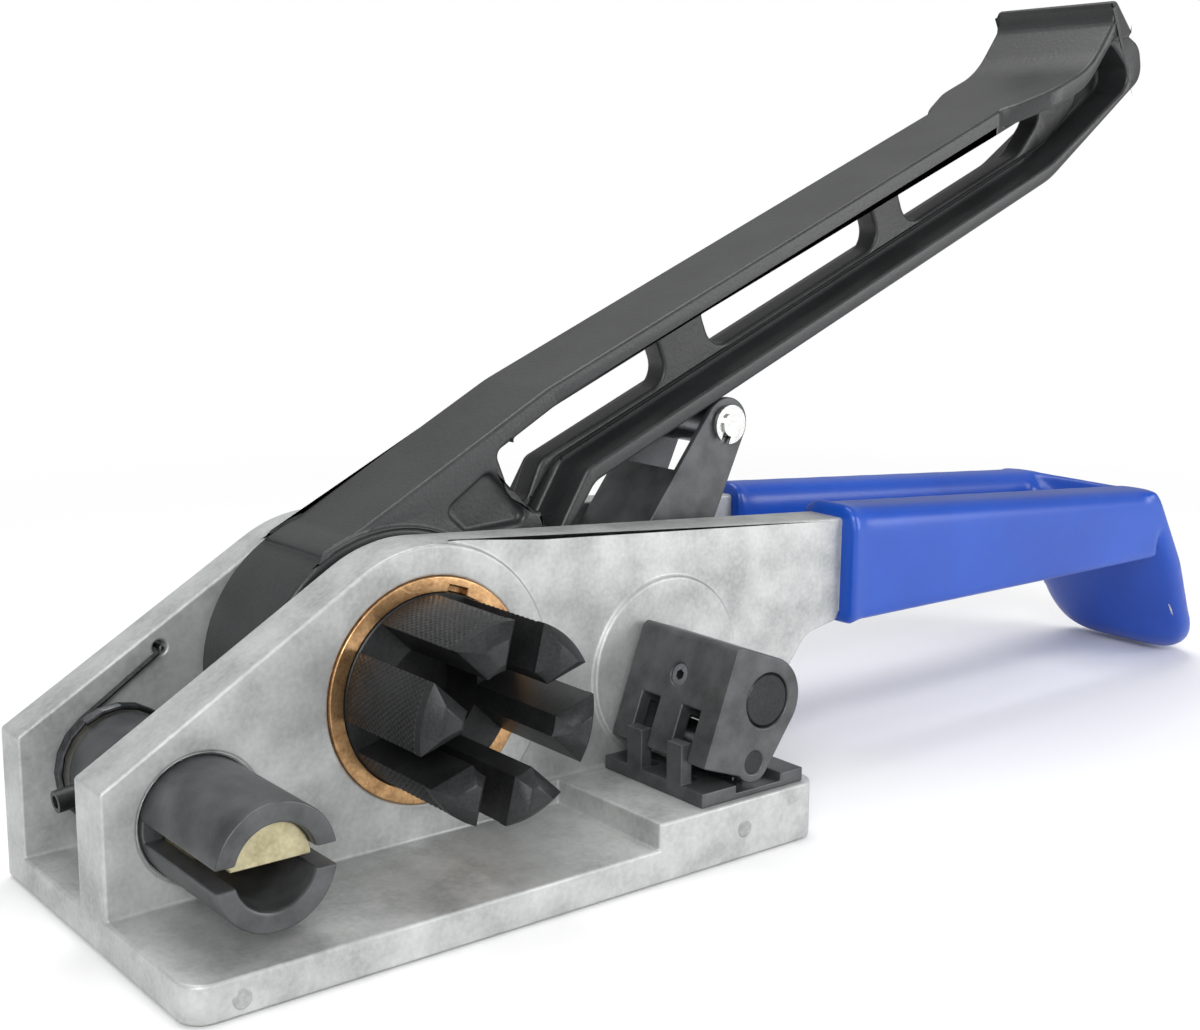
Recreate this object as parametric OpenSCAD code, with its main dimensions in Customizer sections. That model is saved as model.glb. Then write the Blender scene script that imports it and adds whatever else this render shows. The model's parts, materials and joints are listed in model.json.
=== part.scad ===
// Hand strapping tensioner: cast frame, slotted windlass, pumping handle,
// strap gripper, release lever and strap cutter.
// X runs back to the rear grip, Y runs from the open side to the far wall, Z is up.
// The origin is on the base's underside, below the windlass axis, level with the
// outer face of the near wall.

/* [Base] */
// Windlass axis to the front edge of the base
base_front = 74; // [66:1:90]
// Windlass axis to the rear edge of the base
base_rear = 82.5; // [78:0.5:96]
// Width of the strap ledge outside the near wall
foot_w = 36; // [30:1:46]
// Thickness of the strap ledge
foot_t = 7.7; // [5:0.1:10]
// Windlass axis to the step up to the gripper pad
pad_from = 34.5; // [32:0.5:40]
// Thickness of the gripper pad
pad_t = 13.5; // [11:0.5:15]
// Thickness of the floor between the walls
floor_t = 6.9; // [4:0.1:7]

/* [Walls] */
// Thickness of the near wall
near_t = 13; // [9:0.5:16]
// Clear gap between the walls
gap_w = 30; // [26:0.5:36]
// Thickness of the far wall
far_t = 10; // [8:0.5:14]
// Height of the windlass axis above the base
axis_h = 40.7; // [40.5:0.1:48]
// Radius of the round wall top about the windlass axis
boss_r = 31.8; // [29:0.1:38]
// Slope of the walls in front of the windlass, degrees
front_slope = 31; // [26:1:34]
// Slope of the wall tops behind the windlass, degrees
rear_slope = 3.8; // [2:0.1:6]
// Depth of the relief around the near wall's bosses
relief = 1.2; // [0.5:0.1:2]

/* [Rear grip] */
// Windlass axis to the front rim of the vinyl grip
grip_from = 127; // [124:1:134]
// Thickness of the vinyl
vinyl_t = 2.8; // [1.5:0.1:4]
// Underside of the metal arms above the base
arm_low = 39.4; // [36:0.1:44]
// Windlass axis to the middle of the heel plate, level with the arms' top
heel_x = 261.5; // [220:0.5:310]
// Slant of the heel plate from upright, degrees
heel_slant = 31.8; // [20:0.1:40]
// Thickness of the metal heel plate
heel_t = 7.6; // [6:0.1:12]
// Dip of the heel's top edge between the arms
saddle = 6.5; // [0:0.5:10]

/* [Windlass] */
// Outer radius of the knurled windlass
drum_r = 21.4; // [18:0.1:24]
// Length of the windlass outside the near wall
drum_len = 32.5; // [28:0.5:40]
// Radius of the hollow core of the windlass
core_r = 11.4; // [8:0.1:13]
// Width of each strap slot
slot_w = 7.4; // [5:0.1:9]
// Direction of the first slot, degrees
slot_turn = 17; // [0:1:59]
// Wall of the bronze bush in the near wall
bush_t = 3.5; // [2.5:0.1:4]
// Radius of the windlass behind the near wall
shank_r = 16; // [14:0.5:18]
// Number of ratchet teeth
teeth = 24; // [20:1:26]
// Tip radius of the ratchet wheel
ratchet_r = 27.5; // [25:0.5:28]
// Width of the ratchet wheel
ratchet_w = 11; // [8:0.5:14]

/* [Handle] */
// Rise of the handle from level, degrees
handle_rise = 23.5; // [20:0.5:26]
// Width of the handle's flanges
flange_w = 26; // [22:0.5:28]
// Thickness of the handle's flanges
flange_t = 5; // [3.5:0.1:6]
// Thickness of the thick, windowed part of the web
web_t = 7; // [5:0.5:12]
// Thickness of the thin part of the web
thin_t = 4; // [3:0.5:6]
// Outer radius of the handle's hub
hub_r = 33; // [32:0.1:33.2]
// Half the added width of the thumb paddle
paddle_flare = 8; // [4:0.5:12]

/* [Gripper] */
// Windlass axis to the gripper shaft
grip_x = 67.2; // [66:0.1:70]
// Height of the gripper shaft above the base
grip_h = 34.6; // [34:0.1:37]
// Radius of the gripper shaft
gshaft_r = 6.3; // [5:0.1:7]
// Radius of the wall boss about the gripper shaft
gboss_r = 22; // [18:0.5:24]
// Tilt of the gripper block at rest, degrees
block_tilt = 20; // [16:1:24]
// Radius of the block round the shaft
block_r = 9.8; // [9:0.1:11]
// Length of the gripper block along the shaft
block_len = 32.5; // [30:0.5:33]
// Distance from the gripper shaft to the jaw pin
jaw_drop = 14.2; // [13.5:0.1:15]
// Radius of the jaw pin
jaw_pin_r = 2.6; // [2:0.1:3]

/* [Release lever] */
// Windlass axis to the pin at the lever's top
lever_x = 99; // [96:0.1:100]
// Height of the pin at the lever's top
lever_h = 89; // [87:0.1:89.2]
// Thickness of the lever's sheet steel
lever_t = 1.8; // [1.2:0.1:2.5]

/* [Cutter] */
// Windlass axis forward to the cutter axis
cut_x = 53.6; // [50:0.1:58]
// Height of the cutter axis above the base
cut_h = 24.2; // [23:0.1:26]
// Outer radius of the cutter tube
tube_r = 12.6; // [10:0.1:13.5]
// Radius of the cutter core
cut_core_r = 8.3; // [7:0.1:9]
// Length of the cutter tube outside the near wall
tube_len = 31.5; // [28:0.5:36]
// Width of the cutter's strap slot
cut_slot = 4.2; // [3:0.1:5]

/* [Hidden] */
$fn = 96;
e = 0.01;                                 // overlap that keeps a cut or a union clean
run = 0.05;                               // radial clearance of a running fit
snug = 0.02;                              // radial clearance of a seated piece
side = 0.5;                               // side clearance between moving pieces
body_w = near_t + gap_w + far_t;          // width over both walls
gap_y = near_t;                           // near face of the gap
far_y = near_t + gap_w;                   // inner face of the far wall
mid_y = near_t + gap_w / 2;               // middle of the gap
bush_r = drum_r + run + bush_t;           // outer radius of the near bush
slope_rise = (boss_r - base_front * sin(front_slope)) / cos(front_slope);
front_top = axis_h + slope_rise;          // height of the wall's front corner
cut_pos = [-cut_x, 0, cut_h];
grip_pos = [grip_x, 0, grip_h];
axis_pos = [0, 0, axis_h];
hub_side = 1;                             // gap between the handle's hub and each wall
far_neck_r = 12;                          // radius of the windlass in the far bush
neck_r = 15;                              // radius of the windlass under the ratchet wheel

// ---- outlines -------------------------------------------------------------

// Height of the wall top, and of the arms that carry it on, at a place along X
function top_at(x) = axis_h + boss_r / cos(rear_slope) - x * tan(rear_slope);

// A closed outline whose corners [x, z, r] are rounded to radius r
function rounded(p, n = 6) = [for (i = [0 : len(p) - 1])
  let (a = p[(i + len(p) - 1) % len(p)], b = p[i], c = p[(i + 1) % len(p)],
    u = [a.x - b.x, a.y - b.y] / norm([a.x - b.x, a.y - b.y]),
    v = [c.x - b.x, c.y - b.y] / norm([c.x - b.x, c.y - b.y]),
    half = acos(min(1, max(-1, u * v))) / 2,
    turn = sign(u.x * v.y - u.y * v.x),
    reach = b[2] / tan(half),
    mid = [b.x, b.y] + (u + v) / norm(u + v) * b[2] / sin(half),
    from = [b.x, b.y] + u * reach - mid,
    start = atan2(from.y, from.x), sweep = turn * (180 - 2 * half))
  each (b[2] <= 0 ? [[b.x, b.y]] :
    [for (k = [0 : n]) mid + b[2] * [cos(start - k * sweep / n), sin(start - k * sweep / n)]])];

// Points of an arc about c, from angle a0 to a1
function arc(c, r, a0, a1, n = 16) =
  [for (k = [0 : n]) c + r * [cos(a0 + (a1 - a0) * k / n), sin(a0 + (a1 - a0) * k / n)]];

// An XZ outline given thickness along Y, from y0 to y1
module slab(y0, y1) translate([0, y1, 0]) rotate([90, 0, 0]) linear_extrude(y1 - y0) children();

// A round bar along Y at an XZ place
module bar(pos, r, y0, y1) translate([pos.x, y0, pos.z]) rotate([-90, 0, 0]) cylinder(r = r, h = y1 - y0);

// A cone or chamfer along Y at an XZ place
module taper(pos, r0, r1, y0, y1)
  translate([pos.x, y0, pos.z]) rotate([-90, 0, 0]) cylinder(r1 = r0, r2 = r1, h = y1 - y0);

// A ring along Y at an XZ place
module ring(pos, ro, ri, y0, y1) difference() {
  bar(pos, ro, y0, y1);
  bar(pos, ri, y0 - 1, y1 + 1);
}

// A round wire swept along a list of points
module wire(path, r, sides = 8) {
  n = len(path);
  function along(i) = let (d = path[min(i + 1, n - 1)] - path[max(i - 1, 0)]) d / norm(d);
  function across(i) = let (t = along(i), s = cross(t, abs(t.y) > 0.9 ? [1, 0, 0] : [0, 1, 0])) s / norm(s);
  rings = [for (i = [0 : n - 1]) let (s = across(i), w = cross(along(i), s))
    for (k = [0 : sides - 1]) path[i] + r * (cos(360 * k / sides) * s + sin(360 * k / sides) * w)];
  walls = [for (i = [0 : n - 2], k = [0 : sides - 1]) let (m = (k + 1) % sides)
    [i * sides + k, (i + 1) * sides + k, (i + 1) * sides + m, i * sides + m]];
  polyhedron(rings, concat([[for (k = [0 : sides - 1]) k]], walls,
    [[for (k = [sides - 1 : -1 : 0]) (n - 1) * sides + k]]), convexity = 6);
}

// Points of a helix along Y
function helix(pos, r, y0, y1, a0, turns, per = 14) = [for (k = [0 : turns * per])
  [pos.x + r * cos(a0 + 360 * k / per), y0 + (y1 - y0) * k / (turns * per), pos.z + r * sin(a0 + 360 * k / per)]];

// ---- frame ----------------------------------------------------------------

// Outline of a wall from the front edge to the start of the arm
module wall_outline() polygon(concat(
  [[-base_front, 0], [-base_front, front_top]],
  arc([0, axis_h], boss_r, 90 + front_slope, 90 - rear_slope, 24),
  rounded([
    [grip_from + e, top_at(grip_from), 0],
    [grip_from + e, arm_low - 2.2, 3],
    [grip_from - 12, arm_low - 4.4, 7],
    [grip_x + 36.5, pad_t + 7, 0],
    [base_rear, 0, 0]
  ])));

// Middle of the slanted heel plate at a height above the base
function heel_at(z) = heel_x + (top_at(heel_x) - z) * tan(heel_slant);

// Sides of one arm, from the rim of the grip back to the middle of the heel plate
module arm_outline(off) polygon([
  [grip_from, arm_low - off], [grip_from, top_at(grip_from) + off],
  [heel_at(top_at(heel_x) + off), top_at(heel_x) + off], [heel_at(arm_low - off), arm_low - off]]);

// The heel plate: slanted, with round edges, a dipped top edge and a rounded foot
module heel_plate(off) difference() {
  half = heel_t / 2 + off;
  blunt = half + 0.4;
  lean = half / cos(heel_slant);
  low = 3.2 - off;
  top = top_at(heel_x) + off;
  intersection() {
    translate([heel_x, body_w / 2, top_at(heel_x)]) rotate([0, -heel_slant, 0])
      translate([0, 0, -90]) linear_extrude(120) polygon(rounded([
        [-blunt, -body_w / 2 - off, half], [blunt, -body_w / 2 - off, half],
        [blunt, body_w / 2 + off, half], [-blunt, body_w / 2 + off, half]], 8));
    slab(-off - 1, body_w + off + 1) polygon(rounded([
      [heel_at(low) - lean, low, 0.7 * half], [heel_at(top) - lean, top, 1], [heel_at(top) + lean, top, half],
      [heel_at(low) + lean, low, 0.7 * half]], 8));
    translate([heel_x - 40, 0, 0]) rotate([90, 0, 90]) linear_extrude(120) polygon(rounded([
      [-off, 90, 0], [-off, 34, 20], [3 - off, low, 15], [body_w - 3 + off, low, 15],
      [body_w + off, 34, 20], [body_w + off, 90, 0]], 8));
  }
  dip_r = 26;
  translate([heel_x - 30, body_w / 2, top - saddle + dip_r]) rotate([0, 90, 0]) cylinder(r = dip_r, h = 60);
}

module arms(off) {
  slab(-off, near_t + off) arm_outline(off);
  slab(far_y - off, body_w + off) arm_outline(off);
  heel_plate(off);
}

module base_blank() {
  edge_r = 5;
  linear_extrude(foot_t) polygon(rounded([
    [-base_front, -foot_w, edge_r], [-base_front, body_w, 0],
    [base_rear, body_w, 0], [base_rear, -foot_w, edge_r]]));
  translate([pad_from, 0, 0]) linear_extrude(pad_t) polygon(rounded([
    [0, -foot_w, 0], [0, near_t, 0], [base_rear - pad_from, near_t, 0],
    [base_rear - pad_from, -foot_w, edge_r]]));
  translate([-base_front, near_t - 1, 0]) cube([base_front + base_rear, gap_w + 2, floor_t]);
}

module frame_casting() color("#9a9b9a") difference() {
  union() {
    difference() {
      base_blank();
      translate([-base_front - 1, near_t, floor_t]) cube([base_front + base_rear + 2, gap_w, 30]);
    }
    slab(0, near_t) wall_outline();
    slab(far_y, body_w) wall_outline();
    arms(0);
  }
  // relief of the near wall round its two bosses
  difference() {
    translate([0, -1, pad_t]) cube([grip_from, 1 + relief, 100]);
    bar([0, 0, axis_h], boss_r, -2, relief + 1);
    bar(grip_pos, gboss_r, -2, relief + 1);
  }
  bar(axis_pos, bush_r, -1, near_t + 1);
  bar(axis_pos, far_neck_r + run + 2.5, far_y - 1, body_w + 1);
  bar(grip_pos, gshaft_r + run, -1, body_w + 1);
  bar(cut_pos, tube_r, -1, near_t + 1);
  ring(cut_pos, tube_r + 0.7, tube_r - 1, -1, 0.8);
  bar(cut_pos, cut_end_r + run, far_y - 1, body_w + 1);
  translate([cut_leg.x, far_y - 1, cut_leg.z]) rotate([-90, 0, 0]) cylinder(r = 1.6, h = 5);
  bar(hold_pos, hold_pin_r, near_t - 6, far_y + 6);
  for (p = plate_bolts) translate([p.x, p.y, -1]) {
    cylinder(r = 2.1, h = 30);
    cylinder(r = 4.2, h = 1 + 3.2);
  }
}

module grip_sleeve() color("#0046ad") difference() {
  arms(vinyl_t);
  arms(0);
}

// ---- windlass -------------------------------------------------------------

module near_bush() color("#c98a4b") difference() {
  ring(axis_pos, bush_r - snug, drum_r + run, -0.5, near_t);
  rotate_about(axis_pos, 72) translate([drum_r - 1, -1, -2.4]) cube([2.6, 2.5, 4.8]);
}

module far_bush() color("#c98a4b") ring(axis_pos, far_neck_r + run + 2.5 - snug, far_neck_r + run, far_y, body_w);

// Turns the children about a Y line through pos
module rotate_about(pos, a) translate(pos) rotate([0, -a, 0]) children();

ratchet_y0 = mid_y - ratchet_w / 2;
ratchet_y1 = mid_y + ratchet_w / 2;
end_bevel = 2.2;                          // bevel round the windlass's open end
slot_back = 1;                            // the slots stop this far inside the wall
key_w = 5;                                // width of the ratchet key
key_h = 5;                                // height of the ratchet key

module windlass() color("#26272a") difference() {
  union() {
    bar(axis_pos, drum_r, -drum_len + end_bevel, near_t);
    taper(axis_pos, drum_r - end_bevel, drum_r, -drum_len, -drum_len + end_bevel + e);
    bar(axis_pos, shank_r, near_t - e, ratchet_y0);
    bar(axis_pos, neck_r, ratchet_y0 - e, far_y - side);
    bar(axis_pos, far_neck_r, far_y - side - e, body_w + 5);
  }
  bar(axis_pos, core_r, -drum_len - 1, near_t - 2);
  taper(axis_pos, core_r + end_bevel + e, core_r, -drum_len - e, -drum_len + end_bevel);
  for (k = [0 : 2]) rotate_about(axis_pos, slot_turn + 60 * k)
    translate([-drum_r - 1, -drum_len - 1, -slot_w / 2]) cube([2 * drum_r + 2, drum_len + 1 - slot_back, slot_w]);
  rotate_about(axis_pos, 90) translate([neck_r - key_h / 2, ratchet_y0, -key_w / 2])
    cube([key_h, ratchet_w, key_w]);
  ring(axis_pos, far_neck_r + 1, far_neck_r - 1, body_w + 3, body_w + 4.2);
}

module windlass_key() color("#8f9092") rotate_about(axis_pos, 90)
  translate([neck_r - key_h / 2 + snug, ratchet_y0 + snug, -key_w / 2 + snug])
    cube([key_h - 2 * snug, ratchet_w - 2 * snug, key_w - 2 * snug]);

tooth_h = 3.4;                            // depth of the ratchet teeth
// A tooth rises steeply on one side and slopes back on the other
function tooth(k) = let (a = 360 / teeth, t = k * a)
  [ratchet_r * [cos(t), sin(t)], (ratchet_r - tooth_h) * [cos(t + 1.5), sin(t + 1.5)]];

module ratchet_wheel() color("#55585c") difference() {
  slab(ratchet_y0, ratchet_y1) translate([0, axis_h]) polygon([for (k = [0 : teeth - 1]) each tooth(k)]);
  bar(axis_pos, neck_r + snug, ratchet_y0 - 1, ratchet_y1 + 1);
  rotate_about(axis_pos, 90) translate([neck_r - key_h / 2, ratchet_y0 - 1, -key_w / 2])
    cube([key_h, ratchet_w + 2, key_w]);
}

module windlass_collar() color("#6d7073")
  ring(axis_pos, far_neck_r + 5, far_neck_r + snug, body_w + 0.3, body_w + 2.7);

module windlass_clip() color("#8b8e90") difference() {
  ring(axis_pos, far_neck_r + 2.6, far_neck_r - 1 + snug, body_w + 3.1, body_w + 4.1);
  translate([-3, body_w + 2, axis_h - 2 * far_neck_r]) cube([6, 4, 2 * far_neck_r - 4]);
}

// ---- handle ---------------------------------------------------------------

hy0 = mid_y - flange_w / 2;
hy1 = mid_y + flange_w / 2;
top_off = hub_r + 5.9;                    // handle's top surface above its own line
low_off = 11.8;                           // its underside above the same line
bend_s = 63;                              // where the two stretches of the top meet
tail_s = 249;                             // where the underside turns up to the tip
crest_s = 281;                            // the paddle's crest
tip_s = 301;                              // the handle's tip
knee_s = 67;                              // where the underside turns down to the hub

// A place along (s) and above (h) the handle's own line through the windlass axis
function on_handle(s, h, r = 0) = [s * cos(handle_rise) - h * sin(handle_rise),
  axis_h + s * sin(handle_rise) + h * cos(handle_rise), r];
function at_handle(s, h) = [on_handle(s, h).x, on_handle(s, h).y];

// Outside of the handle, seen from the side
outer_shell = rounded([
  on_handle(-3, hub_r - 0.1), on_handle(bend_s, top_off, 30), on_handle(crest_s - 15, top_off, 24),
  on_handle(crest_s + 0.5, top_off + 9, 6), on_handle(crest_s, top_off + 15.4, 1.2),
  on_handle(tip_s, top_off - 6.2, 6), on_handle(tip_s - 1.5, low_off + 11.6, 6.5),
  on_handle(tail_s, low_off, 30), on_handle(knee_s, low_off, 6),
  [50.2, axis_h + 28, 10], [44, axis_h + 14, 0], [30, axis_h - 8, 0], [8, axis_h - 8, 0]], 8);
// Inside of the flanges
inner_shell = rounded([
  on_handle(4, hub_r - flange_t), on_handle(bend_s, top_off - flange_t, 25),
  on_handle(crest_s - 18, top_off - flange_t, 20), on_handle(crest_s - 5, top_off + 0.6, 5),
  on_handle(crest_s + 7, top_off - 0.6, 6), on_handle(tip_s - 6.4, top_off - 12.5, 5),
  on_handle(tip_s - 12, low_off + 11.4, 5), on_handle(tail_s + 2, low_off + 4.3, 20),
  on_handle(knee_s - 1, low_off + 4.3, 4), [47.4, axis_h + 30, 8], [40, axis_h + 16, 0], [12, axis_h - 2, 0]], 8);

win_top = top_off - flange_t;             // underside of the top flange
win_low = low_off + 8;                    // lower edge of the windows
// The long window beside the root
win1 = rounded([on_handle(44.4, 32, 2), on_handle(bend_s, win_top, 20), on_handle(103.8, win_top, 5.6),
  on_handle(103.8, win_low, 5.4), on_handle(60.5, win_low + 0.5, 6), on_handle(53.6, 13.8, 2),
  on_handle(49.4, 13.2, 2.4), on_handle(44.2, 22, 6)], 8);
win2 = rounded([on_handle(119.6, win_low, 5.5), on_handle(119.6, win_top, 5.5),
  on_handle(186, win_top, 5.5), on_handle(186, win_low, 5.5)], 8);
win3 = rounded([on_handle(197.5, win_low, 5.5), on_handle(197.5, win_top, 5.5),
  on_handle(262, win_top, 4), on_handle(261, win_low + 6, 6), on_handle(249, win_low, 12)], 8);

// Thick part of the web: its lower rim follows the windows and sweeps up to the tip
thick_outline = rounded([
  on_handle(4, hub_r - flange_t + 1), on_handle(bend_s, win_top + 1), on_handle(crest_s - 16, win_top + 1),
  on_handle(crest_s + 3, win_top + 3, 3), on_handle(crest_s - 1, win_low + 3.6, 12),
  on_handle(tail_s + 12, win_low - 1.8, 20), on_handle(knee_s - 3, win_low - 1.8, 8), [44, axis_h + 31.5, 4],
  [36, axis_h + 14, 0], [14, axis_h, 0]], 8);

pivot_r = hub_r + 4.6;                    // windlass axis to a pawl's pivot
pawl_lead = 34;                           // pivot's angle ahead of the tooth, degrees
drive_a = 0;                              // tooth that the drive pawl pushes, degrees
hold_a = -45;                             // tooth that the holding pawl stops, degrees
drive_pos = [pivot_r * cos(drive_a + pawl_lead), 0, axis_h + pivot_r * sin(drive_a + pawl_lead)];
hold_pos = [pivot_r * cos(hold_a + pawl_lead), 0, axis_h + pivot_r * sin(hold_a + pawl_lead)];
drive_pin_r = 3;
hold_pin_r = 3;

module handle() color("#2b2c2e") difference() {
  union() {
    // flanges all round
    slab(hy0, hy1) difference() {
      polygon(outer_shell);
      polygon(inner_shell);
    }
    // thin web under the rim, thick web round the windows
    slab(mid_y - thin_t / 2, mid_y + thin_t / 2) difference() {
      intersection() {
        polygon(outer_shell);
        polygon([at_handle(20, -30), at_handle(20, 60), at_handle(tip_s - 2, 60), at_handle(tip_s - 2, -30)]);
      }
      polygon(win1);
      polygon(win2);
      polygon(win3);
    }
    slab(mid_y - web_t / 2, mid_y + web_t / 2) difference() {
      polygon(thick_outline);
      polygon(win1);
      polygon(win2);
      polygon(win3);
    }
    // root that carries the drive pawl
    slab(hy0, hy1) difference() {
      intersection() {
        polygon(outer_shell);
        polygon([[-30, axis_h - 20], [-30, axis_h + 60], at_handle(10, 60), at_handle(50, 60),
          at_handle(50, 9), [44, axis_h + 20], [40, axis_h - 20]]);
      }
      polygon(win1);
    }
    thumb_paddle();
    bar(axis_pos, hub_r, gap_y + hub_side, far_y - hub_side);
    hub_steps();
  }
  // room for the ratchet wheel and both pawls, open below as far as the guard's end
  slab(ratchet_y0 - 1, ratchet_y1 + 1) translate([0, axis_h]) {
    circle(r = ratchet_r + 1.2);
    polygon([[6, 8], [22, 26], [31, 30], [39, 22], [39, -60], [-50, -60], 60 * [cos(214), sin(214)], [0, 0]]);
  }
  bar(axis_pos, shank_r + run, gap_y, ratchet_y0 + 1);
  bar(axis_pos, neck_r + run, ratchet_y1 - 1, far_y);
  bar(drive_pos, drive_pin_r, hy0 - 1, hy1 + 1);
  // shallow side panels in the root
  for (y = [hy0 - 1, hy1 - 2]) slab(y, y + 3) polygon(rounded([[14, axis_h + 35, 2],
    [20, axis_h + 29.6, 2], [38, axis_h + 30.6, 2], [32, axis_h + 37, 2], [26, axis_h + 43, 2]]));
}

// Low raised pads on the top of the hub, one behind the other
module hub_steps() {
  for (p = [[102, 122, 0.9], [84, 99, 1.8]]) intersection() {
    ring(axis_pos, hub_r + p[2], hub_r - 2, hy0, hy1 - 1);
    slab(hy0, hy1) polygon(concat([[0, axis_h]], arc([0, axis_h], 60, p[0], p[1], 4)));
  }
}

// The thumb paddle: the top flange widens and curls up to its crest
module thumb_paddle() intersection() {
  slab(hy0 - paddle_flare, hy1 + paddle_flare) intersection() {
    polygon(outer_shell);
    polygon(rounded([on_handle(150, 70), on_handle(150, win_top), on_handle(crest_s - 18, win_top, 20),
      on_handle(crest_s - 3, top_off + 3, 6), on_handle(crest_s + 12, top_off - 1), on_handle(crest_s + 40, 70)]));
  }
  translate([0, mid_y, 0]) linear_extrude(300) polygon(rounded([
    [196, -flange_w / 2, 12], [214, -flange_w / 2 - paddle_flare, 14], [239, -flange_w / 2 - paddle_flare, 12],
    [262, -flange_w / 2, 12], [262, flange_w / 2, 12], [239, flange_w / 2 + paddle_flare, 12],
    [214, flange_w / 2 + paddle_flare, 14], [196, flange_w / 2, 12]]));
}

module drive_pawl_pin() color("#8b8e90") bar(drive_pos, drive_pin_r - snug, hy0 - 0.3, hy1 + 0.3);
module holding_pawl_pin() color("#8b8e90") bar(hold_pos, hold_pin_r - snug, near_t - 5.5, far_y + 5.5);

// A pawl whose nose stands in front of the steep face of the tooth at angle a
pawl_w = ratchet_w - 3;
module pawl(a) slab(mid_y - pawl_w / 2, mid_y + pawl_w / 2) translate([0, axis_h]) rotate(a) difference() {
  union() {
    rotate(pawl_lead) translate([pivot_r, 0]) circle(r = 6);
    polygon([for (p = [[ratchet_r - 2.5, 2.2], [ratchet_r + 1.4, 0.5], [ratchet_r + 6.2, 12],
      [pivot_r + 3.4, 27.6], [pivot_r - 3.6, 41], [ratchet_r + 0.8, 15.2]]) p[0] * [cos(p[1]), sin(p[1])]]);
  }
  rotate(pawl_lead) translate([pivot_r, 0]) circle(r = drive_pin_r + run);
}
module drive_pawl() color("#606366") pawl(drive_a);
module holding_pawl() color("#606366") pawl(hold_a);

module drive_pawl_spring() color("#a9acae")
  wire(helix(drive_pos, 3.7, mid_y + pawl_w / 2 + 0.45, ratchet_y1 + 0.5, 60, 2), 0.35, 6);
module holding_pawl_spring() color("#a9acae")
  wire(helix(hold_pos, 3.7, mid_y + pawl_w / 2 + 0.5, far_y - 0.5, 0, 6), 0.4, 6);

// ---- gripper --------------------------------------------------------------

plate_x0 = grip_x - 19.4;
plate_x1 = grip_x + 11.4;
plate_low = -34.4;
plate_high = -0.4;
sheet_t = 1.5;
rib_t = 3.3;
finger_y = [-8.3, -22.1];
finger_w = 5.2;
plate_bolts = [for (x = [plate_x0 + 5, plate_x1 - 3.4], y = [-11, -24]) [x, y, 0]];

module gripper_plate() color("#222326") difference() {
  union() {
    translate([plate_x0, plate_low, pad_t]) cube([plate_x1 - plate_x0, plate_high - plate_low, sheet_t]);
    translate([plate_x0, plate_low, pad_t]) cube([10.2, plate_high - plate_low, rib_t]);
    translate([plate_x1 - 7, plate_low, pad_t]) cube([7, plate_high - plate_low, rib_t]);
    for (y = finger_y) translate([plate_x0, y - finger_w, pad_t]) cube([3.2, finger_w, 12.6]);
  }
  for (p = plate_bolts) translate([p.x, p.y, pad_t - 1]) cylinder(r = 2.05, h = 10);
}

module plate_screws() color("#3a3b3d") for (p = plate_bolts) translate([p.x, p.y, 0]) {
  translate([0, 0, 0.6]) difference() {
    cylinder(r = 3.9, h = 2.6);
    translate([0, 0, -1]) cylinder(r = 1.8, h = 2.6, $fn = 6);
  }
  cylinder_from(2.0, 3.2 - e, pad_t + sheet_t);
}
module cylinder_from(r, z0, z1) translate([0, 0, z0]) cylinder(r = r, h = z1 - z0);

function unit(v) = v / norm(v);

// Places in the block's own tilted frame, about the shaft
function on_block(u, v) = [grip_x + u * cos(block_tilt) + v * sin(block_tilt),
  grip_h - u * sin(block_tilt) + v * cos(block_tilt)];
jaw_pos2 = on_block(1.2, -jaw_drop);
jaw_pos = [jaw_pos2.x, 0, jaw_pos2.y];
lobe_r = 4.8;
block_y1 = -1.6;
block_y0 = block_y1 - block_len;
block_front = -13.2;
block_low = -18;

module block_outline() {
  lean = asin((block_r - lobe_r) / norm([1.2, jaw_drop]));
  polygon([on_block(block_front + 1, block_r), on_block(block_front, block_r - 1), on_block(block_front, block_low),
    on_block(0, block_low), on_block(1.2 + lobe_r * cos(lean), -jaw_drop - lobe_r * sin(lean)),
    on_block(block_r * cos(lean), -block_r * sin(lean)), on_block(0, block_r)]);
  translate([grip_x, grip_h]) circle(r = block_r);
  translate(jaw_pos2) circle(r = lobe_r);
}

module gripper_block() color("#202124") difference() {
  slab(block_y0, block_y1) block_outline();
  bar(grip_pos, gshaft_r + snug, block_y0 - 1, block_y1 + 1);
  bar(jaw_pos, jaw_pin_r + snug, block_y0 - 1, block_y1 + 1);
  // the cavity that holds the jaw, open below
  slab(block_y0 + 5, block_y1 - 3.4) polygon([on_block(-9.6, -8), on_block(5.5, -8.6), on_block(9.5, -12),
    on_block(9.5, -30), on_block(-9.6, -30)]);
  for (y = finger_y) slab(y - finger_w - 0.45, y + 0.45) polygon([on_block(-20, -6.2),
    on_block(-6, -6.2), on_block(-6, -30), on_block(-20, -30)]);
  screw_axis() cylinder(r = 2.5 + snug, h = 20);
}

// Places the set screw's axis, from the shaft out through the block's front face
module screw_axis() translate([grip_x, (block_y0 + block_y1) / 2, grip_h])
  rotate([0, -90 + block_tilt, 0]) children();

module gripper_set_screw() color("#77736a") screw_axis() difference() {
  translate([0, 0, gshaft_r + 0.05]) cylinder(r = 2.5, h = 6.4);
  translate([0, 0, gshaft_r + 3.4]) cylinder(r = 1.25, h = 6, $fn = 6);
}

module gripper_shaft() color("#2c2d30") difference() {
  union() {
    bar(grip_pos, gshaft_r, block_y0 + 0.9, body_w + 3.4);
    taper(grip_pos, gshaft_r - 0.6, gshaft_r, block_y0 + 0.3, block_y0 + 0.9 + e);
  }
  ring(grip_pos, gshaft_r + 1, gshaft_r - 0.8, body_w + 1, body_w + 2.1);
  translate([grip_x - 2, lever_y0 - 0.6, grip_h + gshaft_r - 2]) cube([4, 2 * lever_t + 26, 3]);
}

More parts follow.
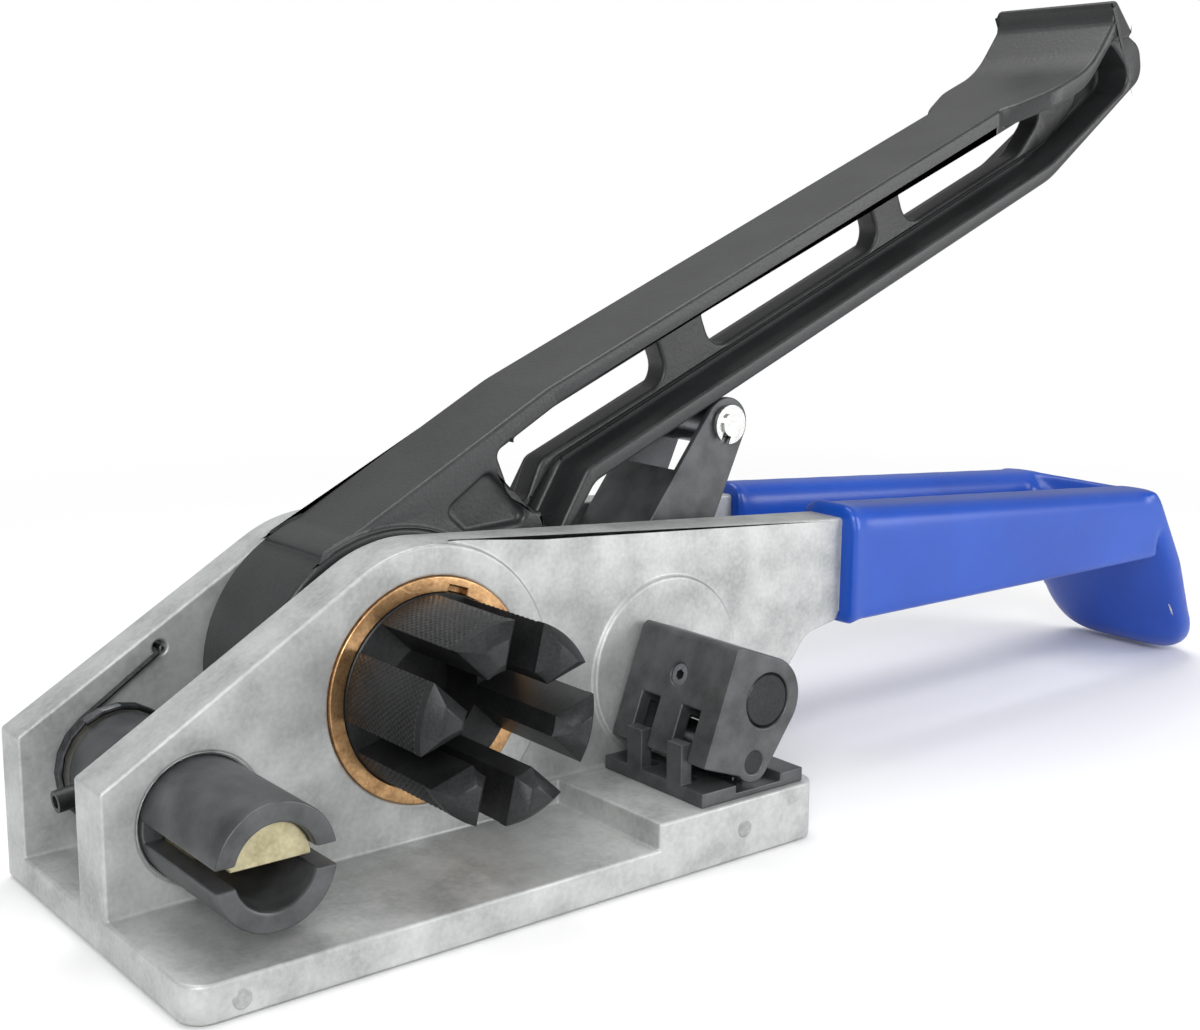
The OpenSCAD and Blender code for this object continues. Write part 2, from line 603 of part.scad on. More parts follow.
module jaw_pin() color("#2c2d30") bar(jaw_pos, jaw_pin_r, block_y0 + 0.3, block_y1);

jaw_y0 = block_y0 + 5.4;
jaw_y1 = block_y1 - 3.8;
jaw_tooth = 1.8;                          // pitch of the jaw's teeth
module gripper_jaw() color("#4a4b4e") difference() {
  slab(jaw_y0, jaw_y1) {
    translate(jaw_pos2) circle(r = 4.6);
    // its foot starts behind the pin, so that it swings up past the plate's rib
    polygon(concat([[jaw_pos2.x - 4.6, jaw_pos2.y], [jaw_pos2.x - 1.6, pad_t + sheet_t + 1.3]],
      [for (k = [0 : 2]) each [[jaw_pos2.x - 1.4 + jaw_tooth * k, pad_t + sheet_t + 0.3],
        [jaw_pos2.x - 1.4 + jaw_tooth * (k + 0.5), pad_t + sheet_t + 1.3]]],
      [[jaw_pos2.x + 4.6, jaw_pos2.y]]));
  }
  bar(jaw_pos, jaw_pin_r + run, jaw_y0 - 1, jaw_y1 + 1);
}

module jaw_spring() color("#6c6e70") wire([for (k = [0 : 27])
  [plate_x0 + 6.4 + 1.2 * cos(40 * k), -17.8 + 1.2 * sin(40 * k), pad_t + rib_t + 0.5 + 0.1 * k]], 0.35, 6);

// ---- release lever --------------------------------------------------------

lever_pos = [lever_x, 0, lever_h];
lever_y0 = mid_y - 12.4;
lever_y1 = mid_y + 12.4;
lever_top_r = 6.7;
lever_root_r = 14;
lever_pin_r = 3;

module lever_outline() {
  d = [lever_x - grip_x, lever_h - grip_h];
  n = unit([-d.y, d.x]);
  c0 = [grip_x, grip_h];
  c1 = [lever_x, lever_h];
  polygon([c0 + n * lever_root_r, c1 + n * lever_top_r, c1 - n * lever_top_r, c0 - n * (lever_root_r - 1)]);
  translate(c0) circle(r = lever_root_r - 1);
  translate(c1) circle(r = lever_top_r);
}

module release_lever() color("#1f2022") difference() {
  union() {
    slab(lever_y0, lever_y0 + lever_t) lever_outline();
    slab(lever_y1 - lever_t, lever_y1) lever_outline();
    // web that joins the two plates along their front edge
    slab(lever_y0, lever_y1) intersection() {
      lever_outline();
      translate([grip_x, grip_h]) rotate(lever_a) polygon([[14, 7.6], [14, 20], [46, 20], [46, 7.6]]);
    }
  }
  slab(lever_y0 + lever_t, lever_y1 - lever_t) translate([grip_x, grip_h]) rotate(lever_a)
    polygon([[0, -20], [0, 12.1], [50, 7.6], [50, -20]]);
  bar(grip_pos, gshaft_r + snug, lever_y0 - 1, lever_y1 + 1);
  bar(lever_pos, lever_pin_r + snug, lever_y0 - 1, lever_y1 + 1);
  translate([grip_x - 2, lever_y0 - 1, grip_h + gshaft_r - 2]) cube([4, lever_y1 - lever_y0 + 2, 4]);
}
lever_a = atan2(lever_h - grip_h, lever_x - grip_x);

module lever_key() color("#8f9092")
  translate([grip_x - 2 + snug, lever_y0 - 0.6 + snug, grip_h + gshaft_r - 2 + snug])
    cube([4 - 2 * snug, lever_y1 - lever_y0 + 1.2, 4 - 2 * snug]);

module lever_pin() color("#b9bab8") difference() {
  bar(lever_pos, lever_pin_r, lever_y0 - 2.2, lever_y1 + 2.2);
  for (y = [lever_y0 - 1.5, lever_y1 + 0.5]) ring(lever_pos, lever_pin_r + 1, lever_pin_r - 0.8, y, y + 1);
}

module lever_roller() color("#7c7f82")
  ring(lever_pos, lever_top_r - 0.8, lever_pin_r + run, lever_y0 + lever_t + side, lever_y1 - lever_t - side);

module e_clip(pos, shaft_r, y0, t) difference() {
  ring(pos, shaft_r + 1.9, shaft_r - 0.8 + snug, y0, y0 + t);
  translate([pos.x, y0 - 1, pos.z]) rotate([0, 25, 0]) translate([-1.4, 0, -20]) cube([2.8, t + 2, 19]);
}

module lever_clips() color("#c9cac8")
  for (y = [lever_y0 - 1.45, lever_y1 + 0.55]) e_clip(lever_pos, lever_pin_r, y, 0.9);

module shaft_clip() color("#8b8e90") e_clip(grip_pos, gshaft_r, body_w + 1.1, 0.9);

spring_y0 = lever_y0 + lever_t + 1;
module lever_spring() color("#8d9092")
  wire(helix(grip_pos, gshaft_r + 3.3, spring_y0, spring_y0 + 7, 200, 5), 0.7, 6);

// ---- cutter ---------------------------------------------------------------

cut_end_r = 5;                            // radius of the core's far journal
cut_leg = [-41.9, 0, 47.6];               // where the spring is anchored in the far wall
cut_hub_y0 = near_t + 12;
cut_hub_y1 = far_y - 5.2;
cut_spring_r = 13;

module cutter_tube() color("#232427") difference() {
  ring(cut_pos, tube_r - snug, cut_core_r + run, -tube_len, near_t);
  taper(cut_pos, cut_core_r + 0.6, cut_core_r, -tube_len - e, -tube_len + 0.6);
  translate([-cut_x - tube_r - 1, -tube_len - 1, cut_h - cut_slot / 2]) cube([2 * tube_r + 2, tube_len + 0.4, cut_slot]);
}

module cutter_core() color("#8d7f5c") difference() {
  union() {
    bar(cut_pos, cut_core_r, -tube_len + 2.6, far_y - 1);
    bar(cut_pos, cut_end_r, far_y - 1 - e, body_w);
  }
  translate([-cut_x - cut_core_r - 1, -tube_len, cut_h - 2 * cut_core_r]) cube([2 * cut_core_r + 2, tube_len - 1, 2 * cut_core_r]);
  roll_pin_bar(2.4 + snug, 12);
}

module cutter_hub() color("#2f3033") difference() {
  ring(cut_pos, 12, cut_core_r + snug, cut_hub_y0, cut_hub_y1);
  roll_pin_bar(2.4 + snug, 14);
}

pin_dir = 187;                            // the roll pin points forward, a little down
module roll_pin_bar(r, len) translate([-cut_x, (cut_hub_y0 + cut_hub_y1) / 2, cut_h])
  rotate([0, 90 - pin_dir, 0]) translate([0, 0, 2]) cylinder(r = r, h = len);

roll_pin_r = 2.4;                         // the pin is a rolled tube with a 1 mm wall
module cutter_roll_pin() color("#303134") difference() {
  translate([-cut_x, (cut_hub_y0 + cut_hub_y1) / 2, cut_h]) rotate([0, 90 - pin_dir, 0])
    translate([0, 0, 2.1]) cylinder(r = roll_pin_r, h = 15.4);
  translate([-cut_x, (cut_hub_y0 + cut_hub_y1) / 2, cut_h]) rotate([0, 90 - pin_dir, 0])
    cylinder(r = roll_pin_r - 1, h = 20);
}

module cutter_spring() color("#3a3b3d") wire(concat(
  [[cut_leg.x, far_y + 3, cut_leg.z], [cut_leg.x, far_y - 0.6, cut_leg.z],
    [cut_leg.x - 1, far_y - 1.1, cut_leg.z - 0.7]],
  helix(cut_pos, cut_spring_r, far_y - 1.3, far_y - 4.2, 124, 3, 20)), 0.6, 8);

frame_casting();
grip_sleeve();
near_bush();
far_bush();
cutter_tube();
gripper_plate();
plate_screws();
holding_pawl_pin();
cutter_core();
cutter_hub();
cutter_roll_pin();
cutter_spring();
windlass();
windlass_key();
ratchet_wheel();
windlass_collar();
windlass_clip();
handle();
drive_pawl_pin();
drive_pawl();
drive_pawl_spring();
holding_pawl();
holding_pawl_spring();
gripper_shaft();
gripper_block();
gripper_set_screw();
gripper_jaw();
jaw_pin();
jaw_spring();
release_lever();
lever_key();
lever_pin();
lever_roller();
lever_clips();
shaft_clip();
lever_spring();
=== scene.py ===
import math
import json
import bpy
import bmesh
import numpy as np
from mathutils import Matrix, Vector


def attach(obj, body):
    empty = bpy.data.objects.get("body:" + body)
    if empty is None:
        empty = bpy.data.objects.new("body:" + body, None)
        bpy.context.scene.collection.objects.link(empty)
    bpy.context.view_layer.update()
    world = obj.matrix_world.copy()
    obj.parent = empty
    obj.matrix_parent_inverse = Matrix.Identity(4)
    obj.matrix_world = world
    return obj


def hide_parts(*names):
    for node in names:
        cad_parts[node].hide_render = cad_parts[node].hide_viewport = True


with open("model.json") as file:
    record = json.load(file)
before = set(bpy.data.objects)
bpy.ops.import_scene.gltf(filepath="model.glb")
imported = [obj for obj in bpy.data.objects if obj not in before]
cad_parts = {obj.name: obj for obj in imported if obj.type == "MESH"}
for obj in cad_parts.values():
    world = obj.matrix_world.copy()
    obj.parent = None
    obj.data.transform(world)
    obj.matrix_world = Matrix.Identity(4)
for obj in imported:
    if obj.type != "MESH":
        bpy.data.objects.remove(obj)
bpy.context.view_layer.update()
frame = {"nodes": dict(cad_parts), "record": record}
scene = bpy.context.scene
print("frame loaded:", len(frame["nodes"]), "nodes")

mm = 0.001


def hexColour(code):  # sRGB hex to the linear numbers that shaders use
    parts = [int(code[i:i + 2], 16) / 255 for i in (1, 3, 5)]
    return tuple(c / 12.92 if c <= 0.04045 else ((c + 0.055) / 1.055) ** 2.4 for c in parts) + (1.0,)


def addNode(tree, kind, settings=None, values=None, links=None):
    # adds one shader node; settings are its own options, values and links go to its sockets
    node = tree.nodes.new("ShaderNode" + kind)
    for key, value in (settings or {}).items():
        setattr(node, key, value)
    for key, value in (values or {}).items():
        node.inputs[key].default_value = value
    for key, source in (links or {}).items():
        tree.links.new(source, node.inputs[key])
    return node


# each finish: two cloud colours and two grain colours, the number of clouds and grains to a metre,
# roughness where dark and where light, how far edges are painted bright (part rubbed wear, part painted highlight),
# and depth of grain in metres
finishLook = {
    "cast_aluminium": {  # tumbled die-cast alloy: cloudy dull grey, sandy grain, edges painted bright as part rubbed wear and part painted highlight
        "name": "tumbledCastAluminium", "clouds": ("#7C7E7E", "#B0B2B1"), "grain": ("#858787", "#C2C4C3"),
        "cloudScale": 85, "grainScale": 850, "grainShare": 0.4, "metallic": 0.5, "rough": (0.62, 0.42),
        "edge": "#D5D7D6", "edgeShare": 0.75, "depth": 0.00014},
    "blue_vinyl": {  # dipped soft vinyl: one deep blue, smooth, a broad soft gloss
        "name": "dippedBlueVinyl", "clouds": ("#003C9E", "#0048B0"), "grain": ("#0040A4", "#0046AC"),
        "cloudScale": 26, "grainScale": 240, "grainShare": 0.3, "metallic": 0.0, "rough": (0.42, 0.34),
        "edge": "#0046AC", "edgeShare": 0.0, "depth": 0.00012, "coat": 0.15},
    "bronze": {  # turned bearing bronze: warm, pitted and scuffed bright, edges painted bright as part wear and part painted highlight
        "name": "scuffedBronze", "clouds": ("#8E5A2C", "#D79C60"), "grain": ("#5B3A1E", "#E9BC85"),
        "cloudScale": 380, "grainScale": 1400, "grainShare": 0.4, "metallic": 1.0, "rough": (0.5, 0.24),
        "edge": "#F0CDA0", "edgeShare": 0.6, "depth": 0.0001},
    "black_painted_casting": {  # stoved black paint on a casting: satin, with a faint orange peel
        "name": "satinBlackPaint", "clouds": ("#1A1B1C", "#252627"), "grain": ("#17181A", "#2D2E2F"),
        "cloudScale": 60, "grainScale": 1000, "grainShare": 0.5, "metallic": 0.0, "rough": (0.36, 0.5),
        "edge": "#3A3B3C", "edgeShare": 0.6, "depth": 0.00016},
    "black_oxide_steel": {  # oiled black oxide on machined steel: near black, edges painted grey as part rubbed wear and part painted highlight
        "name": "oiledBlackOxide", "clouds": ("#1B1C1D", "#2F3031"), "grain": ("#18191A", "#3A3B3D"),
        "cloudScale": 150, "grainScale": 1600, "grainShare": 0.4, "metallic": 0.5, "rough": (0.36, 0.48),
        "edge": "#77797B", "edgeShare": 0.7, "depth": 0.00005},
    "brass_plated_steel": {  # dull yellow plate: olive brass with fine turning marks
        "name": "dullBrassPlate", "clouds": ("#8A815F", "#B3AA86"), "grain": ("#7A7153", "#C4BB98"),
        "cloudScale": 200, "grainScale": 1200, "grainShare": 0.4, "metallic": 0.85, "rough": (0.44, 0.3),
        "edge": "#D6CFB0", "edgeShare": 0.6, "depth": 0.00003},
    "zinc_plated_steel": {  # bright zinc: light, clean, slightly streaky
        "name": "brightZinc", "clouds": ("#BFC1BF", "#DFE0DD"), "grain": ("#B5B7B5", "#E6E7E4"),
        "cloudScale": 300, "grainScale": 1500, "grainShare": 0.4, "metallic": 1.0, "rough": (0.32, 0.18),
        "edge": "#F2F2F0", "edgeShare": 0.6, "depth": 0.00002},
    "plain_steel": {  # ground tool steel: mid grey with a fine ground grain
        "name": "groundSteel", "clouds": ("#6D6F72", "#8C8E91"), "grain": ("#66686B", "#97999C"),
        "cloudScale": 220, "grainScale": 1500, "grainShare": 0.4, "metallic": 0.95, "rough": (0.4, 0.26),
        "edge": "#C8CACC", "edgeShare": 0.7, "depth": 0.00003},
    "spring_steel": {  # oiled hard-drawn wire: dark grey, narrow highlights
        "name": "oiledSpringWire", "clouds": ("#38393B", "#5B5C5E"), "grain": ("#333436", "#66686A"),
        "cloudScale": 400, "grainScale": 1800, "grainShare": 0.3, "metallic": 0.9, "rough": (0.4, 0.26),
        "edge": "#6C6E70", "edgeShare": 0.0, "depth": 0.00001},
}


def makeFinish(look):
    material = bpy.data.materials.new(look["name"])
    material.use_nodes = True
    tree = material.node_tree
    shader = tree.nodes["Principled BSDF"]
    place = addNode(tree, "TexCoord").outputs["Object"]
    noise, colours = {}, {}
    for part, detail, spread in (("cloud", 6.0, (0.36, 0.66)), ("grain", 3.0, (0.3, 0.7))):
        noise[part] = addNode(tree, "TexNoise", values={"Scale": look[part + "Scale"], "Detail": detail},
                              links={"Vector": place}).outputs["Fac"]
        ramp = addNode(tree, "ValToRGB", links={"Fac": noise[part]})
        for stop, where, code in zip(ramp.color_ramp.elements, spread, look["clouds" if part == "cloud" else "grain"]):
            stop.position, stop.color = where, hexColour(code)
        colours[part] = ramp.outputs["Color"]
    both = addNode(tree, "Mix", {"data_type": "RGBA"}, {0: look["grainShare"]},
                   {6: colours["cloud"], 7: colours["grain"]}).outputs[2]
    # brightens the bevelled edges towards the edge colour: part rubbed wear, part painted highlight where light
    # catches the edges
    if look["edgeShare"]:
        wearAndHighlight = addNode(tree, "Attribute", {"attribute_name": "edgeWearAndHighlightMark"}).outputs["Fac"]
        share = addNode(tree, "Math", {"operation": "MULTIPLY"}, {1: look["edgeShare"]}, {0: wearAndHighlight}).outputs[0]
        wearAndHighlightAmount = addNode(tree, "Math", {"operation": "MULTIPLY"}, None, {0: share, 1: noise["cloud"]}).outputs[0]
        both = addNode(tree, "Mix", {"data_type": "RGBA"}, {7: hexColour(look["edge"])},
                       {0: wearAndHighlightAmount, 6: both}).outputs[2]
    tree.links.new(both, shader.inputs["Base Color"])
    shader.inputs["Metallic"].default_value = look["metallic"]
    shader.inputs["Coat Weight"].default_value = look.get("coat", 0.0)
    shader.inputs["Coat Roughness"].default_value = 0.25
    rough = addNode(tree, "MapRange", values={"To Min": look["rough"][0], "To Max": look["rough"][1]},
                    links={"Value": noise["cloud"]}).outputs["Result"]
    tree.links.new(rough, shader.inputs["Roughness"])
    bump = addNode(tree, "Bump", values={"Strength": 0.5, "Distance": look["depth"]},
                   links={"Height": noise["grain"]})
    tree.links.new(bump.outputs["Normal"], shader.inputs["Normal"])
    return material


finishes = {slotName: makeFinish(look) for slotName, look in finishLook.items()}
slotOf = {row["node"]: row["material_slot"] for row in frame["record"]["subparts"]}
for nodeName, node in frame["nodes"].items():
    node.data.materials.clear()
    node.data.materials.append(finishes[slotOf[nodeName]])
print("materials made:", len(finishes))


def linkPiece(name, mesh, body, slotName, covers=()):
    piece = bpy.data.objects.new(name, mesh)
    scene.collection.objects.link(piece)
    mesh.materials.clear()
    mesh.materials.append(finishes[slotName])
    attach(piece, body)
    if covers:
        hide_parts(*covers)
    return piece


def softEdged(nodeName, body, width, segments=2, turn=32):
    # the node's own shape with every hard edge rounded, and those roundings marked for brightening, part as rubbed
    # wear and part as painted highlight
    mesh = frame["nodes"][nodeName].data.copy()
    work = bmesh.new()
    work.from_mesh(mesh)
    bmesh.ops.remove_doubles(work, verts=work.verts, dist=2e-6)
    hard = [e for e in work.edges if len(e.link_faces) == 2 and e.calc_face_angle() > math.radians(turn)]
    made = bmesh.ops.bevel(work, geom=hard, offset=width, offset_type="OFFSET", segments=segments,
                           profile=0.5, affect="EDGES", clamp_overlap=False, miter_outer="SHARP")
    # marks the bevel faces for the edge brightening, which is part rubbed wear and part painted highlight
    wearAndHighlight = work.loops.layers.float_color.new("edgeWearAndHighlightMark")
    for face in made["faces"]:
        for corner in face.loops:
            corner[wearAndHighlight] = (1, 1, 1, 1)
    bmesh.ops.triangulate(work, faces=[f for f in work.faces if len(f.verts) > 4])
    work.to_mesh(mesh)
    work.free()
    mesh.polygons.foreach_set("use_smooth", np.ones(len(mesh.polygons), bool))
    mesh.set_sharp_from_angle(angle=math.radians(40))
    piece = linkPiece(nodeName + "_finished", mesh, body, slotOf[nodeName], [nodeName])
    evener = piece.modifiers.new("evenNormals", "WEIGHTED_NORMAL")
    evener.keep_sharp = True
    return piece


def gridMesh(name, points):
    # points[ring, step] in metres: quads between neighbouring closed rings, with both ends filled
    rings, steps = points.shape[:2]
    i, j = np.meshgrid(np.arange(rings - 1), np.arange(steps), indexing="ij")
    k = (j + 1) % steps
    faces = np.stack([i * steps + j, i * steps + k, (i + 1) * steps + k, (i + 1) * steps + j], -1)
    faces = faces.reshape(-1, 4).tolist()
    faces.append(list(range(steps))[::-1])
    faces.append([(rings - 1) * steps + s for s in range(steps)])
    mesh = bpy.data.meshes.new(name)
    mesh.from_pydata(points.reshape(-1, 3).tolist(), [], faces)
    work = bmesh.new()
    work.from_mesh(mesh)
    bmesh.ops.recalc_face_normals(work, faces=work.faces)
    work.to_mesh(mesh)
    work.free()
    return mesh


def joinMeshes(name, meshes):
    work = bmesh.new()
    for mesh in meshes:
        work.from_mesh(mesh)
    joined = bpy.data.meshes.new(name)
    work.to_mesh(joined)
    work.free()
    return joined


edgeWidth = {  # how far each piece's hard edges are rounded, in metres
    "frame_casting": ("frame", 0.0007), "handle": ("handle", 0.001), "cutter_tube": ("frame", 0.0004),
    "gripper_plate": ("frame", 0.0003), "cutter_core": ("cutter", 0.0003), "cutter_hub": ("cutter", 0.0005),
    "gripper_block": ("gripper", 0.0005), "release_lever": ("gripper", 0.0004),
    "near_bush": ("frame", 0.0003), "ratchet_wheel": ("windlass", 0.0002),
}
for nodeName, (body, width) in edgeWidth.items():
    softEdged(nodeName, body, width)
print("castings and steel parts given their rounded edges")

windlass = {  # millimetres
    "axis": 40.7, "outer": 21.4, "core": 11.4, "slotHalf": 3.7, "length": 32.5, "root": -1.0,
    "pyramid": 3.2, "firstLobe": 47.0, "knurlPitch": 1.3, "knurlDepth": 0.28, "knurlEnd": 5.5,
}


def windlassLobe(index, w):
    # one lobe: outer arc, side, inner arc, side, carried along Y. Near the open end all four sides
    # step in together, which makes the cut-off pyramid. The outer arc carries a diamond knurl:
    # height = depth * the lesser of two triangle waves, one along each diagonal.
    along = np.concatenate([np.linspace(w["root"], -(w["length"] - w["pyramid"] - 0.2), 92),
                            [-(w["length"] - w["pyramid"]), -w["length"] + 0.25, -w["length"]]])
    step = np.clip((-along - (w["length"] - w["pyramid"])) / w["pyramid"], 0, 1) * w["pyramid"] * 0.85
    step[-1] += 0.35
    outer, inner, half = w["outer"] - step, w["core"] + step, w["slotHalf"] + step
    spread = np.radians(30) - np.arcsin(half / outer)
    spreadIn = np.maximum(np.radians(30) - np.arcsin(half / inner), np.radians(1.5))
    sweep = np.linspace(-1, 1, 56)
    wave = lambda value: np.abs((value / w["knurlPitch"]) % 1 - 0.5) * 2
    arc = sweep[None, :] * spread[:, None]
    u, v = arc * w["outer"], along[:, None] * 0.75
    plain = (along < -(w["length"] - w["knurlEnd"])) | (along > -0.3)
    knurl = np.where(plain[:, None], 0, w["knurlDepth"] * np.minimum(wave(u + v), wave(u - v)))
    radiusOut = outer[:, None] - np.where(plain[:, None], 0, w["knurlDepth"]) + knurl
    few = np.linspace(1, -1, 9)
    arcIn = few[None, :] * spreadIn[:, None]
    angles = np.concatenate([arc, arcIn], 1) + np.radians(w["firstLobe"] + 60 * index)
    radii = np.concatenate([radiusOut, np.repeat(inner[:, None], 9, 1)], 1)
    points = np.stack([radii * np.cos(angles), np.repeat(along[:, None], radii.shape[1], 1),
                       w["axis"] + radii * np.sin(angles)], -1)
    return gridMesh("lobe", points * mm)


def turned(name, profile, centre, steps=96):
    # a turned shape: radius and Y of each point of the profile, carried round a Y axis
    turn = np.linspace(0, 2 * np.pi, steps, endpoint=False)
    radius, along = np.array(profile, float).T
    points = np.stack([centre[0] + radius[:, None] * np.cos(turn), np.repeat(along[:, None], steps, 1),
                       centre[1] + radius[:, None] * np.sin(turn)], -1)
    return gridMesh(name, points * mm)


journalProfile = [(0.5, 11), (11.4, 11), (11.4, -1), (21.1, -1), (21.4, -0.7), (21.4, 13), (16, 13), (16, 22.5),
                  (15, 22.5), (15, 42.5), (12, 42.5), (12, 56), (11, 56), (11, 57.2), (12, 57.2), (12, 57.6),
                  (11.6, 58), (0.5, 58)]
parts = [windlassLobe(k, windlass) for k in range(6)] + [turned("journal", journalProfile, (0, windlass["axis"]))]
mesh = joinMeshes("windlass_finished", parts)
mesh.polygons.foreach_set("use_smooth", np.ones(len(mesh.polygons), bool))
mesh.set_sharp_from_angle(angle=math.radians(28))
linkPiece("windlass_finished", mesh, "windlass", slotOf["windlass"], ["windlass"])
print("windlass made")

grip = {  # millimetres
    "from": 126.6, "armLow": 36.6, "topAtZero": 75.37, "fall": 0.06642, "arms": ((-2.8, 15.8), (40.2, 55.8)),
    "topRadius": 5.5, "lowRadius": 2.2, "lip": 0.7, "heelX": 261.5, "heelTop": 55.2, "lean": 0.62,
    "heelHalf": 7.6, "middle": 26.5, "halfWidth": 29.3, "footHalf": 26.3, "footRadius": 15, "foot": 0.4,
    "saddle": 6.3,
}


def gripArm(low, high, g):
    # a rectangle with round corners, carried back from the rim; the first rings swell to the dipped lip
    x = np.array([g["from"], g["from"] + 0.4, g["from"] + 1.4, g["from"] + 3, g["from"] + 5]
                 + list(np.linspace(g["from"] + 12, 258, 24)) + [264.0])
    swell = np.interp(x - g["from"], [0, 0.4, 1.4, 3, 5], [-0.5, 0.3, g["lip"], 0.35, 0])
    top = g["topAtZero"] - g["fall"] * x + swell
    rings = []
    corners = ((1, 1, "topRadius", 0), (-1, 1, "topRadius", 90), (-1, -1, "lowRadius", 180), (1, -1, "lowRadius", 270))
    for side, up, radius, start in corners:
        turn = np.radians(np.linspace(start, start + 90, 7))
        r = g[radius]
        y = (high + swell - r if side > 0 else low - swell + r)[:, None] + r * np.cos(turn)[None, :]
        z = (top - r if up > 0 else g["armLow"] - swell + r)[:, None] + r * np.sin(turn)[None, :]
        rings.append(np.stack([np.repeat(x[:, None], 7, 1), y, z], -1))
    return gridMesh("arm", np.concatenate(rings, 1) * mm)


def gripHeel(g):
    # a flattened oval section carried down a slanting line: wide at the arms, a round U at the foot,
    # with the top edge dipping between the arms
    share = np.concatenate([np.linspace(0, 0.12, 10) ** 1.0, np.linspace(0.14, 0.9, 26), np.linspace(0.92, 1, 8)])
    turn = np.linspace(0, 2 * np.pi, 96, endpoint=False)
    top = g["heelTop"] + 2.8
    height = g["foot"] + share * (top - g["foot"])
    rise = height - g["foot"]
    bowl = g["footHalf"] - g["footRadius"] + np.sqrt(
        np.maximum(g["footRadius"] ** 2 - np.maximum(g["footRadius"] - rise, 0) ** 2, 0.01))
    wide = bowl + (g["halfWidth"] - g["footHalf"]) * np.clip((rise - 15) / 18, 0, 1)
    thick = g["heelHalf"] * np.sqrt(np.clip(1 - np.maximum(1 - rise / 6, 0) ** 2, 0.02, 1))
    thick = thick * np.sqrt(np.clip(1 - np.maximum(1 - (top - height) / 4.5, 0) ** 2 * 0.75, 0.05, 1))
    across = np.sign(np.cos(turn)) * np.abs(np.cos(turn)) ** 0.55
    around = np.sign(np.sin(turn)) * np.abs(np.sin(turn)) ** 0.8
    y = g["middle"] + wide[:, None] * across
    dip = g["saddle"] * np.clip(1 - ((y - g["middle"]) / 17) ** 2, 0, 1)
    z = height[:, None] - dip * (share[:, None] ** 3)
    x = g["heelX"] + (g["heelTop"] - z) * g["lean"] + thick[:, None] * around
    return gridMesh("heel", np.stack([x, y, z], -1) * mm)


gripMesh = joinMeshes("grip_sleeve_finished", [gripArm(*arm, grip) for arm in grip["arms"]] + [gripHeel(grip)])
gripPiece = linkPiece("grip_sleeve_finished", gripMesh, "frame", slotOf["grip_sleeve"], ["grip_sleeve"])
skin = gripPiece.modifiers.new("oneSkin", "REMESH")
skin.mode, skin.voxel_size, skin.use_smooth_shade = "VOXEL", 0.0011, True
softener = gripPiece.modifiers.new("soften", "SMOOTH")
softener.factor, softener.iterations = 0.5, 8
print("vinyl grip made")

ejectorMarks = ((-63.6, 3.3), (59.3, 6.8))  # X and Z of the round marks on the ledge's edge, millimetres
for number, (x, z) in enumerate(ejectorMarks):
    mark = turned("ejector_mark_%d" % number, [(0.2, -36.2), (1.7, -36.2), (2.0, -36.0), (2.0, -35.5), (0.2, -35.5)], (x, z), 32)
    linkPiece("ejector_mark_%d" % number, mark, "frame", slotOf["frame_casting"])

cameraSetup = {
    "position": (-0.19099, -0.29654, 0.14551),
    "heading": 38.616,   # degrees from +Y towards +X
    "down": 10.684,
    "roll": 0.581,
    "lens": 51.06,
}


def makeCamera(setup):
    a, e, roll = (math.radians(setup[k]) for k in ("heading", "down", "roll"))
    ahead = Vector((math.sin(a) * math.cos(e), math.cos(a) * math.cos(e), -math.sin(e)))
    right = Vector((math.cos(a), -math.sin(a), 0))
    up = right.cross(ahead)
    right, up = (math.cos(roll) * right + math.sin(roll) * up, math.cos(roll) * up - math.sin(roll) * right)
    camera = bpy.data.objects.new("camera", bpy.data.cameras.new("camera"))
    camera.data.lens = setup["lens"]
    camera.data.clip_start = 0.01
    camera.matrix_world = Matrix((
        (right.x, up.x, -ahead.x, setup["position"][0]),
        (right.y, up.y, -ahead.y, setup["position"][1]),
        (right.z, up.z, -ahead.z, setup["position"][2]),
        (0, 0, 0, 1)))
    scene.collection.objects.link(camera)
    scene.camera = camera


def makeLight(name, position, target, size, power):
    lamp = bpy.data.lights.new(name, "AREA")
    lamp.shape = "DISK"
    lamp.size = size
    lamp.energy = power
    holder = bpy.data.objects.new(name, lamp)
    holder.location = position
    holder.rotation_euler = (Vector(target) - Vector(position)).to_track_quat("-Z", "Y").to_euler()
    scene.collection.objects.link(holder)


makeCamera(cameraSetup)
makeLight("keyLight", (-0.75, -0.95, 0.75), (0.1, 0, 0.06), 0.7, 13)
makeLight("sideLight", (0.75, -0.8, 0.35), (0.1, 0, 0.06), 0.6, 5)
makeLight("topLight", (0.1, 0.25, 1.1), (0.1, 0, 0.05), 0.8, 7)

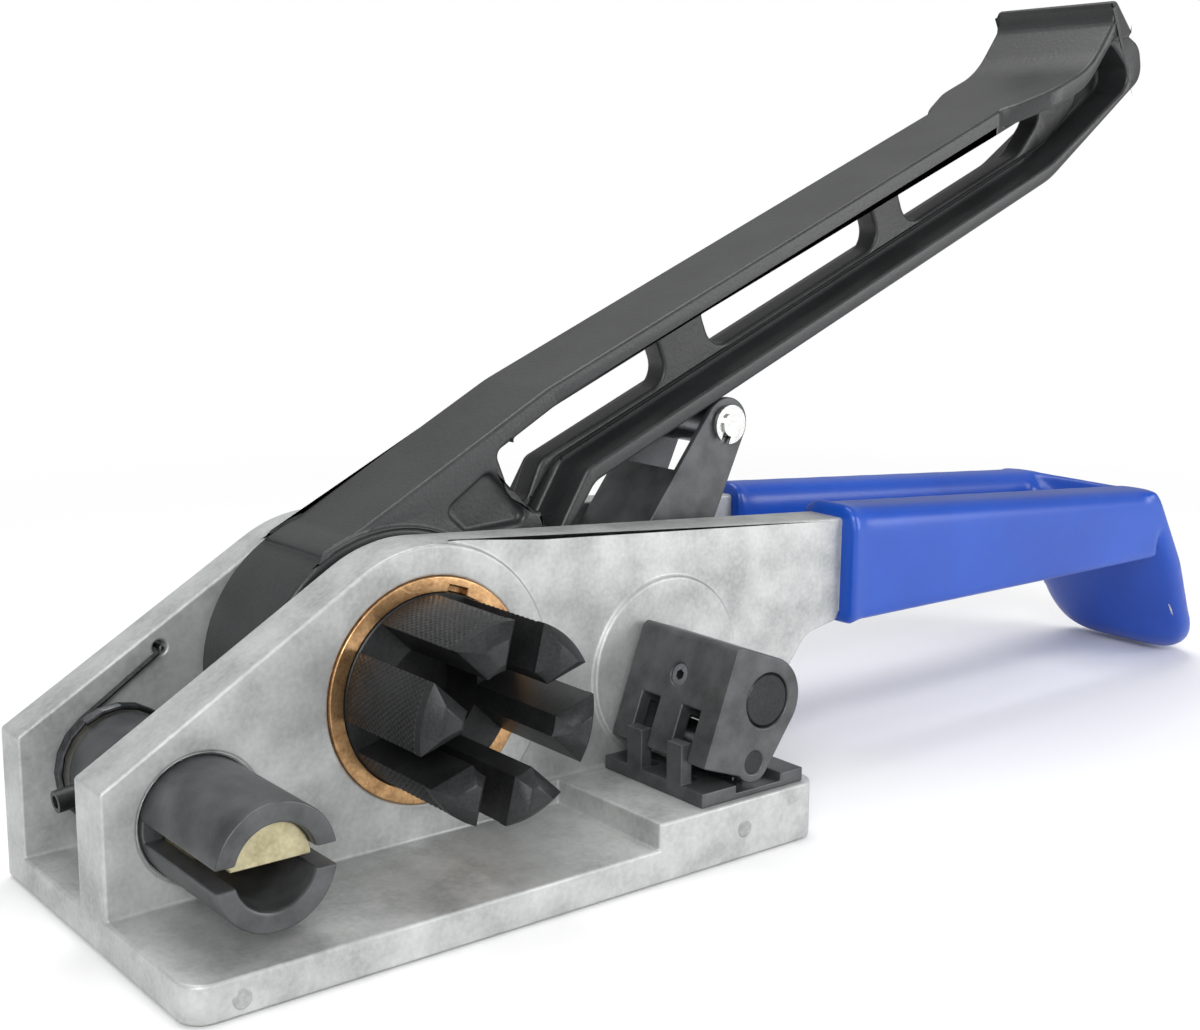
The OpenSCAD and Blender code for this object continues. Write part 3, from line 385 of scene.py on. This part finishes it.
studio = {"fill": 0.45, "seenBy": 1.0, "floorTone": 0.88, "whiteFrom": 0.22, "whiteBy": 0.62}
world = bpy.data.worlds.new("studio")
world.use_nodes = True
scene.world = world
sky = world.node_tree
rays = addNode(sky, "LightPath").outputs
direct = addNode(sky, "Math", {"operation": "MAXIMUM"}, None, {0: rays["Is Camera Ray"], 1: rays["Is Transmission Ray"]})
level = addNode(sky, "MapRange", values={"To Min": studio["fill"], "To Max": studio["seenBy"]},
                links={"Value": direct.outputs[0]})
sky.nodes["Background"].inputs["Color"].default_value = (1, 1, 1, 1)
sky.links.new(level.outputs["Result"], sky.nodes["Background"].inputs["Strength"])

floorMesh = bpy.data.meshes.new("floor")
floorMesh.from_pydata([(-3, -3, -0.0004), (3, -3, -0.0004), (3, 3, -0.0004), (-3, 3, -0.0004)], [], [(0, 1, 2, 3)])
floor = bpy.data.objects.new("floor", floorMesh)
scene.collection.objects.link(floor)
paper = bpy.data.materials.new("whiteStudioPaper")
paper.use_nodes = True
tree = paper.node_tree
shader = tree.nodes["Principled BSDF"]
shader.inputs["Base Color"].default_value = (studio["floorTone"],) * 3 + (1,)
shader.inputs["Roughness"].default_value = 0.9
# the paper runs out to plain white away from the object, for what the camera sees only
place = addNode(tree, "TexCoord").outputs["Object"]
moved = addNode(tree, "VectorMath", {"operation": "SUBTRACT"}, {1: (0.11, 0.01, 0)}, {0: place}).outputs[0]
distance = addNode(tree, "VectorMath", {"operation": "LENGTH"}, None, {0: moved}).outputs["Value"]
fade = addNode(tree, "MapRange", {"interpolation_type": "SMOOTHSTEP"},
               {"From Min": studio["whiteFrom"], "From Max": studio["whiteBy"]}, {"Value": distance}).outputs[0]
rays = addNode(tree, "LightPath").outputs
share = addNode(tree, "Math", {"operation": "MULTIPLY"}, None, {0: fade, 1: rays["Is Camera Ray"]}).outputs[0]
plainWhite = addNode(tree, "Emission")
blend = addNode(tree, "MixShader", links={0: share, 1: shader.outputs[0], 2: plainWhite.outputs[0]})
tree.links.new(blend.outputs[0], tree.nodes["Material Output"].inputs["Surface"])
floorMesh.materials.append(paper)

scene.view_settings.view_transform = "Standard"
print("camera and light made")
